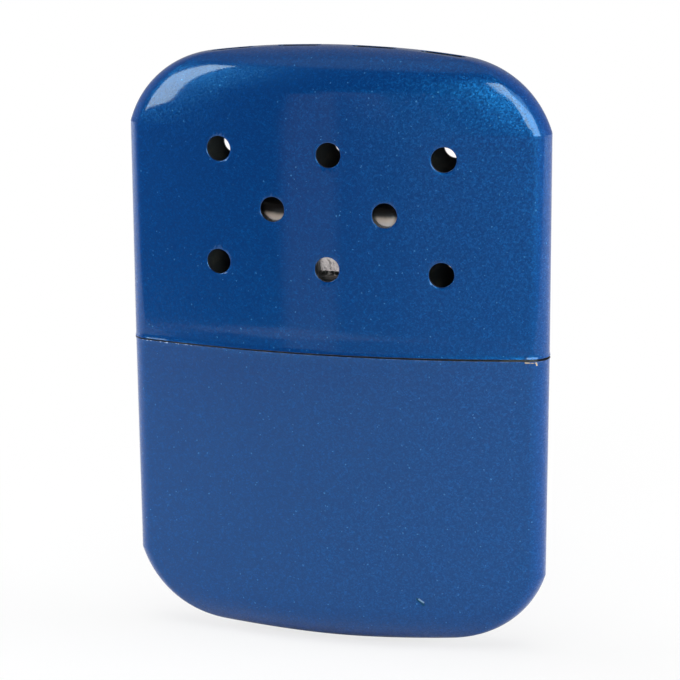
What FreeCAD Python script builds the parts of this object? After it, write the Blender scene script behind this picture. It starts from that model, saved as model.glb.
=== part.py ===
"""Catalytic hand warmer: a slim drawn-steel fuel tank, a vented lid that slides over its collar,
and a catalytic burner that slips over the filler neck.  Millimetres, +Z up, front towards -Y.
The origin is the lowest point of the tank's domed end, in the middle."""

import FreeCAD, Part
import math
import os
import re

import Sketcher
from FreeCAD import Vector

doc = FreeCAD.newDocument("hand_warmer")
sheet = doc.addObject("Spreadsheet::Sheet", "Sizes")

# Driving dimensions: alias, value in millimetres or degrees, and what it is.
SIZES = [
    # outer form, shared by tank and lid
    ("height", 100.0, "closed height, from domed end to domed end"),
    ("width", 70.2, "width at the seam"),
    ("thickness", 14.0, "thickness at the seam"),
    ("side_radius", 3.4, "plan radius of the narrow sides"),
    ("seam_height", 50.4, "height of the seam between tank and lid"),
    ("width_draft", 0.2, "draft of the narrow sides, degrees"),
    ("thickness_draft", 0.5, "draft of the broad faces, degrees"),
    ("dome_radius", 156.0, "front-view radius of the domed ends"),
    ("shoulder_radius", 16.7, "front-view radius of the shoulders"),
    ("shoulder_overrun", 0.6, "how far the shoulder circle runs past the side, leaving a soft corner"),
    ("crown_depth", 7.1, "depth over which an end rounds off from front to back"),
    ("wall", 0.5, "sheet of tank and lid"),
    ("mouth_flare", 0.12, "how far the cut mouths of tank and lid are belled out"),
    ("flare_height", 0.9, "height over which a mouth is belled out"),
    # air vents of the lid
    ("vent_diameter", 4.05, "round vents, punched in both broad faces"),
    ("vent_pitch", 18.55, "vent spacing in a row of three"),
    ("vent_row_pitch", 9.3, "spacing of the vent rows"),
    ("vent_row_height", 64.6, "height of the lowest vent row"),
    ("vent_tilt", 0.8, "slant of the punched pattern, degrees"),
    ("slot_length", 7.2, "slots along the crown"),
    ("slot_width", 1.7, "width of the crown slots"),
    ("slot_inner_spacing", 12.3, "spacing of the two middle slots"),
    ("slot_outer_spacing", 11.2, "from a middle slot to the outer one beside it"),
    # collar and deck: one inverted cup that closes the tank and guides the lid
    ("collar_rise", 7.0, "deck height above the seam"),
    ("collar_skirt", 6.0, "how deep the skirt sits in the tank's mouth"),
    ("collar_clearance", 0.06, "between collar and lid or tank, per side"),
    ("collar_sheet", 0.45, "sheet of the collar and deck"),
    ("collar_edge", 1.3, "rounding of the deck's outer edge"),
    # filler neck
    ("neck_length", 26.0, "outer length of the oval neck"),
    ("neck_width", 7.6, "outer width of the oval neck"),
    ("neck_rise", 4.6, "height of the neck above the deck"),
    ("neck_drop", 1.6, "how far the neck reaches under the deck"),
    ("neck_sheet", 0.4, "sheet of the neck"),
    ("neck_lip", 0.18, "rounding of the neck's lip"),
    # burner
    ("neck_clearance", 0.06, "between neck and burner sleeve, per side"),
    ("seat_clearance", 0.1, "between the deck and the burner's foot"),
    ("sleeve_sheet", 0.4, "sheet of the burner sleeve"),
    ("sleeve_height", 5.5, "height of the burner sleeve"),
    ("foot_height", 0.9, "height of the rolled foot of the sleeve"),
    ("foot_proud", 0.4, "how far the rolled foot stands out"),
    ("foot_roll", 0.35, "rounding of the rolled foot"),
    ("crimp_clearance", 0.02, "between pieces that are crimped together, per side"),
    ("grille_sheet", 0.4, "sheet of the burner grille"),
    ("grille_start", 2.4, "lower edge of the grille above the burner's foot"),
    ("burner_height", 17.0, "burner height over all"),
    ("grille_crown", 1.7, "rounding of the grille's top edge"),
    ("window_width", 4.5, "width of each grille window"),
    ("window_height", 8.8, "height of each grille window"),
    ("window_pitch", 5.9, "spacing of the windows"),
    ("window_start", 5.2, "lower window edge above the burner's foot"),
    ("window_corner", 0.6, "corner radius of the windows"),
    ("top_slot_width", 1.2, "width of the slots in the grille's top"),
    ("retainer_clearance", 0.12, "between the neck's lip and the plate under the catalyst mat"),
    ("retainer_sheet", 0.4, "thickness of the plate under the catalyst mat"),
    ("retainer_hole", 2.2, "diameter of the holes in that plate"),
    ("retainer_pitch", 3.6, "spacing of those holes"),
    ("retainer_edge", 0.8, "least sheet left beside the last hole"),
    ("mat_clearance", 0.2, "between the catalyst mat and the grille"),
    ("mat_edge", 1.8, "rounding of the mat's top edge"),
    # cotton in the tank
    ("cotton_clearance", 0.3, "between the cotton and the tank wall"),
    ("cotton_gap", 0.25, "between two layers of cotton"),
    ("cotton_bottom_top", 20.0, "top of the bottom layer"),
    ("cotton_middle_top", 37.0, "top of the middle layer"),
    ("cotton_edge", 2.0, "rounding of the top layer where it meets the neck"),
]
for row, (alias, size, meaning) in enumerate(SIZES, start=1):
    sheet.set("A%d" % row, alias)
    sheet.set("B%d" % row, str(size))
    sheet.set("C%d" % row, meaning)
    sheet.setAlias("B%d" % row, alias)
doc.recompute()

TOUCH = 0.01  # levels closer than this are the same level

ALIAS_PATTERN = re.compile(r"\b(%s)\b" % "|".join(alias for alias, size, meaning in SIZES))


# ---------------------------------------------------------------- helpers

def bound(expression):
    """The expression with every alias read from the sheet."""
    return ALIAS_PATTERN.sub(r"Sizes.\1", str(expression))


def value(expression):
    """The number that an expression of aliases gives."""
    result = sheet.evalExpression(str(expression))
    return float(getattr(result, "Value", result))


def new_body(name):
    body = doc.addObject("PartDesign::Body", name)
    body.Label = name
    body.Placement = FreeCAD.Placement()
    return body


def new_sketch(body, name, role, level="0"):
    """A sketch on one of the body's own origin planes, moved to a level along its normal."""
    plane = [feature for feature in body.Origin.OriginFeatures if feature.Role == role][0]
    sketch = body.newObject("Sketcher::SketchObject", name)
    sketch.AttachmentSupport = [(plane, "")]
    sketch.MapMode = "FlatFace"
    sketch.setExpression("AttachmentOffset.Base.z", bound(level))
    return sketch


def dimension(sketch, name, expression, kind, *where):
    """A driving sketch dimension that follows an expression."""
    index = sketch.addConstraint(Sketcher.Constraint(kind, *where, value(expression)))
    sketch.renameConstraint(index, name)
    sketch.setExpression("Constraints." + name, bound(expression))


def place(sketch, name, geometry, point, x, y):
    """Dimensions that hold a point of the sketch at x, y from the origin."""
    dimension(sketch, name + "_x", x, "DistanceX", -1, 1, geometry, point)
    dimension(sketch, name + "_y", y, "DistanceY", -1, 1, geometry, point)


def lens_section(body, name, level, half_width, half_thickness, side_radius):
    """A plan section of the shells: two broad arcs that run tangent into two small side arcs."""
    face_radius = "((%s)^2 + (%s)^2 - 2*(%s)*(%s)) / (2*((%s) - (%s)))" % (
        half_width, half_thickness, side_radius, half_width, half_thickness, side_radius)
    a, t = value(half_width), value(half_thickness)
    face_centre = Vector(0, value(face_radius) - t, 0)
    side_centre = Vector(a - value(side_radius), 0, 0)
    join = face_centre + (side_centre - face_centre).normalize() * value(face_radius)
    x, y = join.x, -join.y
    sketch = new_sketch(body, name, "XY_Plane", level)
    sketch.addGeometry([
        Part.Arc(Vector(-x, -y, 0), Vector(0, -t, 0), Vector(x, -y, 0)),
        Part.Arc(Vector(x, -y, 0), Vector(a, 0, 0), Vector(x, y, 0)),
        Part.Arc(Vector(x, y, 0), Vector(0, t, 0), Vector(-x, y, 0)),
        Part.Arc(Vector(-x, y, 0), Vector(-a, 0, 0), Vector(-x, -y, 0)),
    ], False)
    for arc in range(4):
        sketch.addConstraint(Sketcher.Constraint("Tangent", arc, 2, (arc + 1) % 4, 1))
    sketch.addConstraint(Sketcher.Constraint("Equal", 0, 2))
    sketch.addConstraint(Sketcher.Constraint("Equal", 1, 3))
    sketch.addConstraint(Sketcher.Constraint("PointOnObject", 1, 3, -1))
    sketch.addConstraint(Sketcher.Constraint("Symmetric", 1, 3, 3, 3, -1, 1))
    dimension(sketch, "face_radius", face_radius, "Radius", 0)
    dimension(sketch, "side_radius", side_radius, "Radius", 1)
    dimension(sketch, "side_centre", "(%s) - (%s)" % (half_width, side_radius), "DistanceX", -1, 1, 1, 3)
    return sketch


def add_oval(sketch, name, length, width, x="0", y="0"):
    """A slot outline along the sketch's x: two straights and two half-round ends."""
    half, radius = value(length) / 2 - value(width) / 2, value(width) / 2
    cx, cy = value(x), value(y)
    first = sketch.GeometryCount
    left, right = Vector(cx - half, cy, 0), Vector(cx + half, cy, 0)
    up = Vector(0, radius, 0)
    out = Vector(radius, 0, 0)
    sketch.addGeometry([
        Part.LineSegment(left - up, right - up),
        Part.Arc(right - up, right + out, right + up),
        Part.LineSegment(right + up, left + up),
        Part.Arc(left + up, left - out, left - up),
    ], False)
    line, right_arc, other_line, left_arc = range(first, first + 4)
    for one, two in ((line, right_arc), (right_arc, other_line), (other_line, left_arc), (left_arc, line)):
        sketch.addConstraint(Sketcher.Constraint("Tangent", one, 2, two, 1))
    sketch.addConstraint(Sketcher.Constraint("Horizontal", line))
    dimension(sketch, name + "_radius", "(%s)/2" % width, "Radius", right_arc)
    place(sketch, name + "_right", right_arc, 3, "%s + (%s)/2 - (%s)/2" % (x, length, width), y)
    dimension(sketch, name + "_left_x", "%s - (%s)/2 + (%s)/2" % (x, length, width),
              "DistanceX", -1, 1, left_arc, 3)


def add_circle(sketch, name, diameter, x, y):
    index = sketch.addGeometry(Part.Circle(Vector(value(x), value(y), 0), Vector(0, 0, 1),
                                           value(diameter) / 2), False)
    dimension(sketch, name + "_diameter", diameter, "Diameter", index)
    place(sketch, name, index, 3, x, y)


def add_window(sketch, name, width, height, corner, x, y):
    """A rectangle with rounded corners, centred on x and standing on y."""
    w, h, r = value(width) / 2, value(height), value(corner)
    cx, base = value(x), value(y)
    first = sketch.GeometryCount
    slant = r * (1 - math.sqrt(0.5))
    corners = [(w, 0, -1, 1), (w, h, -1, -1), (-w, h, 1, -1), (-w, 0, 1, 1)]
    ends = []
    for px, py, inward_x, inward_y in corners:
        point = Vector(cx + px, base + py, 0)
        along_x = point + Vector(inward_x * r, 0, 0)
        along_y = point + Vector(0, inward_y * r, 0)
        middle = point + Vector(inward_x * slant, inward_y * slant, 0)
        start, finish = (along_x, along_y) if inward_x * inward_y < 0 else (along_y, along_x)
        ends.append((start, middle, finish))
    pieces = []
    for index, (start, middle, finish) in enumerate(ends):
        pieces.append(Part.Arc(start, middle, finish))
        pieces.append(Part.LineSegment(finish, ends[(index + 1) % 4][0]))
    sketch.addGeometry(pieces, False)
    for index in range(8):
        sketch.addConstraint(Sketcher.Constraint("Tangent", first + index, 2, first + (index + 1) % 8, 1))
    for arc in (2, 4, 6):
        sketch.addConstraint(Sketcher.Constraint("Equal", first, first + arc))
    for side in (1, 5):
        sketch.addConstraint(Sketcher.Constraint("Vertical", first + side))
    for end in (3, 7):
        sketch.addConstraint(Sketcher.Constraint("Horizontal", first + end))
    dimension(sketch, name + "_corner", corner, "Radius", first)
    place(sketch, name + "_low", first, 3, "%s + (%s)/2 - (%s)" % (x, width, corner), "%s + (%s)" % (y, corner))
    place(sketch, name + "_high", first + 4, 3, "%s - (%s)/2 + (%s)" % (x, width, corner),
          "%s + (%s) - (%s)" % (y, height, corner))


def pad(body, name, sketch, length):
    feature = body.newObject("PartDesign::Pad", name)
    feature.Profile = sketch
    feature.setExpression("Length", bound(length))
    doc.recompute()
    return feature


def pocket(body, name, sketch, length, reverse=False, both_ways=False):
    """A cut of a given depth, checked to take material away."""
    before = body.Shape.Volume
    feature = body.newObject("PartDesign::Pocket", name)
    feature.Profile = sketch
    feature.setExpression("Length", bound(length))
    feature.Reversed = reverse
    feature.SideType = "Symmetric" if both_ways else "One side"
    doc.recompute()
    if feature.Shape.isNull() or not feature.Shape.Volume < before:
        raise RuntimeError(name + " cuts nothing")
    return feature


def round_edges(body, name, radius, wanted):
    """A fillet on the edges of the body's last feature for which wanted(edge) holds."""
    last = body.Tip
    names = ["Edge%d" % (index + 1) for index, edge in enumerate(last.Shape.Edges) if wanted(edge)]
    if not names:
        raise RuntimeError(name + " found no edges")
    feature = body.newObject("PartDesign::Fillet", name)
    feature.Base = (last, names)
    feature.setExpression("Radius", bound(radius))
    doc.recompute()
    if feature.Shape.isNull():
        raise RuntimeError(name + " could not be rounded")
    return feature


def level_edges(level, half_width=None):
    """A test for edges that lie flat at a level, on the outline of a given half width if one is named."""
    height = value(level)

    def test(edge):
        box = edge.BoundBox
        flat = abs(box.ZMin - height) < TOUCH and abs(box.ZMax - height) < TOUCH
        if half_width is None:
            return flat
        return flat and abs(max(box.YMax, -box.YMin) - value(half_width)) < TOUCH
    return test


# ---------------------------------------------------------------- tank and lid

SHOULDER_SECTIONS = 5
DOME_SECTIONS = 4
TIP_SHARE = 0.11  # the last section lies this share of the dome's angle from the middle


def end_sections(body, name, inset, reach, side):
    """Sections from the soft corner over the shoulder and along the dome, for one skin of a shell.

    reach is the distance from the seam to the tip and side is "+" for the lid, "-" for the tank.
    """
    centre_x = "(width/2 + shoulder_overrun - shoulder_radius)"
    centre_rise = "(%s - dome_radius + sqrt((dome_radius - shoulder_radius)^2 - %s^2))" % (reach, centre_x)
    corner_run = value("width/2 - %s*tan(width_draft*1deg) - %s" % (centre_rise, centre_x))
    corner = math.degrees(math.acos(corner_run / value("shoulder_radius")))
    join = math.degrees(math.asin(value(centre_x) / value("dome_radius - shoulder_radius")))
    stations = []
    for step in range(SHOULDER_SECTIONS + 1):
        angle = corner + (90 - join - corner) * step / SHOULDER_SECTIONS
        stations.append((
            "(%s + (shoulder_radius - %s)*sin(%.6f deg))" % (centre_rise, inset, angle),
            "(%s + (shoulder_radius - %s)*cos(%.6f deg))" % (centre_x, inset, angle)))
    for step in range(1, DOME_SECTIONS + 1):
        angle = join * max(1 - step / DOME_SECTIONS, TIP_SHARE)
        stations.append((
            "(%s - dome_radius + (dome_radius - %s)*cos(%.6f deg))" % (reach, inset, angle),
            "((dome_radius - %s)*sin(%.6f deg))" % (inset, angle)))
    sections = []
    for number, (rise, half_width) in enumerate(stations):
        thickness = "(thickness/2 - %s - (%s)*tan(thickness_draft*1deg))" % (inset, rise)
        into_crown = "((%s) - (%s) + crown_depth)" % (rise, reach)
        if value(into_crown) > 0:
            thickness += "*sqrt(1 - (%s/(crown_depth - %s))^2)" % (into_crown, inset)
        radius = "(%s)*(side_radius - %s)/(thickness/2 - %s)" % (thickness, inset, inset)
        level = "seam_height %s %s" % (side, rise)
        sections.append(lens_section(body, "%s_%d" % (name, number), level, half_width, thickness, radius))
    return sections


def add_skin(body, name, kind, inset, reach, side):
    """One skin of a shell: a straight-sided loft from the belled mouth, then a smooth one over the end."""
    mouth = lens_section(body, name + "_mouth", "seam_height", "width/2 + mouth_flare - " + inset,
                         "thickness/2 + mouth_flare - " + inset, "side_radius + mouth_flare - " + inset)
    throat = lens_section(body, name + "_throat", "seam_height %s flare_height" % side,
                          "width/2 - " + inset, "thickness/2 - " + inset, "side_radius - " + inset)
    sections = end_sections(body, name, inset, reach, side)
    straight = body.newObject(kind, name + "_sides")
    straight.Profile = mouth
    straight.Sections = [throat, sections[0]]
    straight.Ruled = True
    doc.recompute()
    end = body.newObject(kind, name + "_end")
    end.Profile = sections[0]
    end.Sections = sections[1:]
    doc.recompute()


def drawn_shell(name, reach, side):
    """A cup drawn from sheet: the outer skin less the inner skin."""
    body = new_body(name)
    add_skin(body, name + "_outer", "PartDesign::AdditiveLoft", "0", reach, side)
    add_skin(body, name + "_inner", "PartDesign::SubtractiveLoft", "wall", reach, side)
    return body


def vent_places():
    """Centres of the vents, three rows of 3, 2 and 3, slanted as one pattern about its middle."""
    places = []
    for row, columns in ((0, (-1, 0, 1)), (1, (-0.5, 0.5)), (2, (-1, 0, 1))):
        for column in columns:
            across = "(%s*vent_pitch)" % column
            above = "(%s*vent_row_pitch)" % (row - 1)
            places.append((
                "(%s*cos(vent_tilt*1deg) + %s*sin(vent_tilt*1deg))" % (across, above),
                "(vent_row_height + vent_row_pitch + %s*cos(vent_tilt*1deg) - %s*sin(vent_tilt*1deg))"
                % (above, across)))
    return places


def make_lid():
    lid = drawn_shell("lid_shell", "(height - seam_height)", "+")
    # the same punch goes through the front and, with the lid turned round, through the back
    vents = new_sketch(lid, "vent_sketch", "XZ_Plane")
    for number, (x, z) in enumerate(vent_places()):
        add_circle(vents, "vent%d" % number, "vent_diameter", x, z)
    front = pocket(lid, "front_vents", vents, "thickness", reverse=True)
    both = lid.newObject("PartDesign::PolarPattern", "both_faces")
    both.Originals = [front]
    both.Axis = ([f for f in lid.Origin.OriginFeatures if f.Role == "Z_Axis"][0], [""])
    both.Angle = 360
    both.Occurrences = 2
    lid.Tip = both
    doc.recompute()
    slots = new_sketch(lid, "slot_sketch", "XY_Plane", "height")
    inner = "slot_inner_spacing/2"
    outer = "(slot_inner_spacing/2 + slot_outer_spacing)"
    for number, x in enumerate(("-" + outer, "-" + inner, inner, outer)):
        add_oval(slots, "slot%d" % number, "slot_length", "slot_width", x)
    pocket(lid, "crown_slots", slots, "crown_depth/2")
    return lid


def make_tank():
    return drawn_shell("tank_shell", "seam_height", "-")


# ---------------------------------------------------------------- collar, deck and neck

COLLAR_WIDTH = "(width/2 - wall - collar_clearance - collar_rise*tan(width_draft*1deg))"
COLLAR_THICKNESS = "(thickness/2 - wall - collar_clearance - collar_rise*tan(thickness_draft*1deg))"
COLLAR_SIDE = "(side_radius - wall - collar_clearance)"
DECK = "(seam_height + collar_rise)"
SKIRT_END = "(seam_height - collar_skirt)"


def make_collar():
    """An inverted cup: its skirt is fixed in the tank's mouth and its deck carries the neck."""
    collar = new_body("collar_deck")
    outline = lens_section(collar, "collar_outline", SKIRT_END, COLLAR_WIDTH, COLLAR_THICKNESS, COLLAR_SIDE)
    pad(collar, "collar_blank", outline, "collar_rise + collar_skirt")
    hollow = lens_section(collar, "collar_hollow", SKIRT_END, COLLAR_WIDTH + " - collar_sheet",
                          COLLAR_THICKNESS + " - collar_sheet", COLLAR_SIDE + " - collar_sheet")
    pocket(collar, "collar_inside", hollow, "collar_rise + collar_skirt - collar_sheet", reverse=True)
    round_edges(collar, "deck_inner_edge", "collar_edge - collar_sheet", level_edges(DECK + " - collar_sheet"))
    round_edges(collar, "deck_outer_edge", "collar_edge", level_edges(DECK))
    mouth = new_sketch(collar, "neck_hole_sketch", "XY_Plane", DECK)
    add_oval(mouth, "neck_hole", "neck_length", "neck_width")
    pocket(collar, "neck_hole", mouth, "collar_edge")
    return collar


def make_neck():
    """The oval filler neck, soldered into the deck."""
    neck = new_body("filler_neck")
    foot = DECK + " - neck_drop"
    outline = new_sketch(neck, "neck_outline", "XY_Plane", foot)
    add_oval(outline, "outside", "neck_length", "neck_width")
    pad(neck, "neck_blank", outline, "neck_rise + neck_drop")
    bore = new_sketch(neck, "neck_bore_sketch", "XY_Plane", foot)
    add_oval(bore, "inside", "neck_length - 2*neck_sheet", "neck_width - 2*neck_sheet")
    pocket(neck, "neck_bore", bore, "neck_rise + neck_drop", reverse=True)
    round_edges(neck, "neck_lip", "neck_lip", level_edges(DECK + " + neck_rise"))
    return neck


# ---------------------------------------------------------------- burner

FOOT = "(%s + seat_clearance)" % DECK
SLEEVE_INNER = "2*neck_clearance"
SLEEVE_OUTER = "2*(neck_clearance + sleeve_sheet)"
GRILLE_INNER = "2*(neck_clearance + sleeve_sheet + crimp_clearance)"
GRILLE_OUTER = "2*(neck_clearance + sleeve_sheet + crimp_clearance + grille_sheet)"


def neck_oval(sketch, name, growth):
    """The neck's outline, larger all round by half of growth."""
    add_oval(sketch, name, "neck_length + " + growth, "neck_width + " + growth)


def make_sleeve():
    """The burner's lower band, which slips over the neck and stands on the deck."""
    sleeve = new_body("burner_sleeve")
    band = new_sketch(sleeve, "band_sketch", "XY_Plane", FOOT)
    neck_oval(band, "band", SLEEVE_OUTER)
    pad(sleeve, "band_blank", band, "sleeve_height")
    foot = new_sketch(sleeve, "foot_sketch", "XY_Plane", FOOT)
    neck_oval(foot, "foot", SLEEVE_OUTER + " + 2*foot_proud")
    pad(sleeve, "rolled_foot", foot, "foot_height")
    half_foot = "(neck_width + %s)/2 + foot_proud" % SLEEVE_OUTER
    round_edges(sleeve, "foot_roll", "foot_roll", level_edges(FOOT + " + foot_height", half_foot))
    round_edges(sleeve, "foot_roll_under", "foot_roll", level_edges(FOOT, half_foot))
    bore = new_sketch(sleeve, "sleeve_bore_sketch", "XY_Plane", FOOT)
    neck_oval(bore, "bore", SLEEVE_INNER)
    pocket(sleeve, "sleeve_bore", bore, "sleeve_height", reverse=True)
    return sleeve


def make_grille():
    """The burner's cage: a deep-drawn oval cap with windows front and back and slots on top."""
    grille = new_body("burner_grille")
    start = FOOT + " + grille_start"
    depth = "(burner_height - grille_start)"
    outline = new_sketch(grille, "grille_outline", "XY_Plane", start)
    neck_oval(outline, "outside", GRILLE_OUTER)
    pad(grille, "grille_blank", outline, depth)
    hollow = new_sketch(grille, "grille_hollow", "XY_Plane", start)
    neck_oval(hollow, "inside", GRILLE_INNER)
    pocket(grille, "grille_inside", hollow, depth + " - grille_sheet", reverse=True)
    round_edges(grille, "grille_inner_crown", "grille_crown - grille_sheet",
                level_edges(FOOT + " + burner_height - grille_sheet"))
    round_edges(grille, "grille_outer_crown", "grille_crown", level_edges(FOOT + " + burner_height"))
    windows = new_sketch(grille, "window_sketch", "XZ_Plane")
    slots = new_sketch(grille, "top_slot_sketch", "XY_Plane", FOOT + " + burner_height")
    for column in (-1, 0, 1):
        x = "%d*window_pitch" % column
        add_window(windows, "window%d" % (column + 1), "window_width", "window_height", "window_corner",
                   x, FOOT + " + window_start")
        add_oval(slots, "top_slot%d" % (column + 1), "window_width", "top_slot_width", x)
    pocket(grille, "grille_windows", windows, "thickness", both_ways=True)
    pocket(grille, "top_slots", slots, "grille_crown")
    return grille


RETAINER = DECK + " + neck_rise + retainer_clearance"


def make_retainer():
    """The punched plate across the sleeve on which the catalyst mat lies."""
    plate = new_body("mat_retainer")
    outline = new_sketch(plate, "retainer_outline", "XY_Plane", RETAINER)
    neck_oval(outline, "outside", SLEEVE_INNER + " - 2*crimp_clearance")
    pad(plate, "retainer_blank", outline, "retainer_sheet")
    holes = new_sketch(plate, "retainer_hole_sketch", "XY_Plane", RETAINER)
    columns = int(value("(neck_length/2 - retainer_hole/2 - retainer_edge)/retainer_pitch"))
    for column in range(-columns, columns + 1):
        add_circle(holes, "hole%d" % (column + columns), "retainer_hole", "%d*retainer_pitch" % column, "0")
    pocket(plate, "retainer_holes", holes, "retainer_sheet", reverse=True)
    return plate


def make_mat():
    """The platinum-coated glass-fibre mat that fills the grille."""
    mat = new_body("catalyst_mat")
    bottom = FOOT + " + sleeve_height + crimp_clearance"
    top = FOOT + " + burner_height - grille_sheet - mat_clearance"
    outline = new_sketch(mat, "mat_outline", "XY_Plane", bottom)
    neck_oval(outline, "mat", GRILLE_INNER + " - 2*mat_clearance")
    pad(mat, "mat_block", outline, "(%s) - (%s)" % (top, bottom))
    round_edges(mat, "mat_round", "mat_edge", level_edges(top))
    return mat


# ---------------------------------------------------------------- cotton

def make_cotton(name, low, high, top_layer=False):
    """One layer of fuel cotton: the inside of the tank between two levels."""
    filling = new_body(name + "_filling")
    if top_layer:
        outline = lens_section(filling, name + "_outline", low, COLLAR_WIDTH + " - collar_sheet - cotton_clearance",
                               COLLAR_THICKNESS + " - collar_sheet - cotton_clearance",
                               COLLAR_SIDE + " - collar_sheet - cotton_clearance")
        pad(filling, name + "_block", outline, "(%s) - (%s)" % (high, low))
        round_edges(filling, name + "_edge", "cotton_edge", level_edges(high))
    else:
        add_skin(filling, name + "_skin", "PartDesign::AdditiveLoft", "(wall + cotton_clearance)",
                 "seam_height", "-")
    slab = doc.addObject("Part::Box", name + "_slab")
    slab.setExpression("Length", bound("width"))
    slab.setExpression("Width", bound("thickness"))
    slab.setExpression("Height", bound("(%s) - (%s)" % (high, low)))
    slab.setExpression("Placement.Base.x", bound("-width/2"))
    slab.setExpression("Placement.Base.y", bound("-thickness/2"))
    slab.setExpression("Placement.Base.z", bound(low))
    layer = doc.addObject("Part::Common", name)
    layer.Label = name
    layer.Base = filling
    layer.Tool = slab
    doc.recompute()
    return layer


# ---------------------------------------------------------------- build, check and write

COTTON_TOP = DECK + " - neck_drop - cotton_gap"

pieces = [
    make_tank(),
    make_collar(),
    make_neck(),
    make_cotton("cotton_bottom", "0", "cotton_bottom_top"),
    make_cotton("cotton_middle", "cotton_bottom_top + cotton_gap", "cotton_middle_top"),
    make_cotton("cotton_top", "cotton_middle_top + cotton_gap", COTTON_TOP, top_layer=True),
    make_sleeve(),
    make_grille(),
    make_retainer(),
    make_mat(),
    make_lid(),
]
doc.recompute()

for item in doc.Objects:
    if "Invalid" in item.State or "Error" in item.State:
        raise RuntimeError("%s is %s" % (item.Name, item.State))
for piece in pieces:
    if piece.Shape.isNull() or not piece.Shape.isValid():
        raise RuntimeError(piece.Label + " has no valid shape")

os.makedirs("parts", exist_ok=True)
for piece in pieces:
    piece.Shape.exportStep("parts/%s.step" % piece.Label)
    print("%-16s %d solid %9.2f mm3 %3d faces" % (piece.Label, len(piece.Shape.Solids),
                                                 piece.Shape.Volume, len(piece.Shape.Faces)))
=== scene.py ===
"""Looks of a catalytic pocket hand warmer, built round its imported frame. Every length is in metres."""

import math
import random

import bmesh
import bpy
import numpy as np
from mathutils import Matrix, Vector, noise


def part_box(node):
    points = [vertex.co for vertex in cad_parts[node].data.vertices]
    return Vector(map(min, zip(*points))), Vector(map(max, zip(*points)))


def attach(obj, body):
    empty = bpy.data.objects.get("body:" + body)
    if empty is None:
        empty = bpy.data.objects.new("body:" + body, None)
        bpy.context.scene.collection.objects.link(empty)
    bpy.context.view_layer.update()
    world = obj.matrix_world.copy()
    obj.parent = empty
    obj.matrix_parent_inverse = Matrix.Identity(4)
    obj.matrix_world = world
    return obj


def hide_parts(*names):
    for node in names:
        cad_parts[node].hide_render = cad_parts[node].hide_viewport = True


bl_info = {
    "name": "Catalytic hand warmer",
    "version": (1, 0, 0),
    "blender": (4, 5, 0),
    "location": "3D View > Sidebar > Hand Warmer",
    "description": "Shells, burner, filling and studio of a pocket hand warmer",
    "category": "Object",
}

MM = 0.001

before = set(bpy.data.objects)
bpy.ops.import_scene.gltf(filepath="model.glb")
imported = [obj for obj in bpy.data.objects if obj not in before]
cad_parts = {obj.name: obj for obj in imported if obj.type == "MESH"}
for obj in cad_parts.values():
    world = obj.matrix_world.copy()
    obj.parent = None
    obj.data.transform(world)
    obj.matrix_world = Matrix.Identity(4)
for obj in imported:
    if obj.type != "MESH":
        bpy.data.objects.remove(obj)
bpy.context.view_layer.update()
lid_low, lid_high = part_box("lid_shell")
tank_low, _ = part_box("tank_shell")
mat_low, mat_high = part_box("catalyst_mat")
MOUTH_FLARE = 0.12 * MM
SEAM = lid_low.z
# The cut edge's and the inside's finishes are near black, painted shade.
OUTSIDE, CUT_EDGE, INSIDE = range(3)  # the materials of a cup, in the order of its slots


# ---------------- sizes and colours


def length(name, description, default):
    """A length that a user can change."""
    settings = {"unit": "LENGTH", "subtype": "DISTANCE", "precision": 5}
    return bpy.props.FloatProperty(name=name, description=description, default=default, **settings)


def angle(name, description, degrees):
    """An angle that a user can change."""
    settings = {"unit": "ROTATION", "subtype": "ANGLE", "default": math.radians(degrees)}
    return bpy.props.FloatProperty(name=name, description=description, **settings)


def share(name, description, default):
    """A plain number that a user can change."""
    return bpy.props.FloatProperty(name=name, description=description, default=default)


def colour(name, description, default):
    """A colour that a user can change, written as it shows on a screen, from 0 to 255."""
    linear = [(part / 255) ** 2.2 for part in default]
    return bpy.props.FloatVectorProperty(
        name=name, description=description, default=linear, size=3, subtype="COLOR"
    )


class WarmerShell(bpy.types.PropertyGroup):
    """Sizes of the two drawn cups."""

    width: length("Width", "Width of both cups at the seam", 2 * (lid_high.x - MOUTH_FLARE))
    thickness: length("Thickness", "Thickness of both cups at the seam", 2 * (lid_high.y - MOUTH_FLARE))
    side_radius: length("Side radius", "Radius of the narrow sides, seen from above", 3.4 * MM)
    width_draft: angle("Width draft", "How much each narrow side leans in", 0.2)
    thickness_draft: angle("Thickness draft", "How much each broad face leans in", 0.5)
    dome_radius: length("Dome radius", "Radius of the domed end, seen from the front", 156 * MM)
    shoulder_radius: length("Shoulder radius", "Radius of the round corners", 16.7 * MM)
    shoulder_overrun: length("Shoulder overrun", "How far the corner arcs pass the sides", 0.6 * MM)
    crown_depth: length("Crown depth", "Height over which a broad face rounds over", 7.1 * MM)
    tip_share: share("Tip share", "Share of the dome that is left flat at its middle", 0.11)
    wall: length("Wall", "Thickness of the sheet", 0.5 * MM)
    flare: length("Mouth flare", "How far the cut mouths are belled out", MOUTH_FLARE)
    flare_height: length("Flare height", "Height of the belled rim", 0.9 * MM)
    lip_radius: length("Lip radius", "Rounding of the cut edge at the mouth", 0.13 * MM)
    dish: length("Dish", "Depth of the shallow hollow that drawing leaves behind the mouth", 0.045 * MM)
    dish_height: length("Dish height", "Height of the middle of that hollow above the mouth", 1.9 * MM)
    left_gap: length("Left gap", "How far the lid's rim stands open at its left end", 0.05 * MM)
    right_gap: length("Right gap", "How far the lid's rim stands open at its right end", 0.22 * MM)


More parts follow.
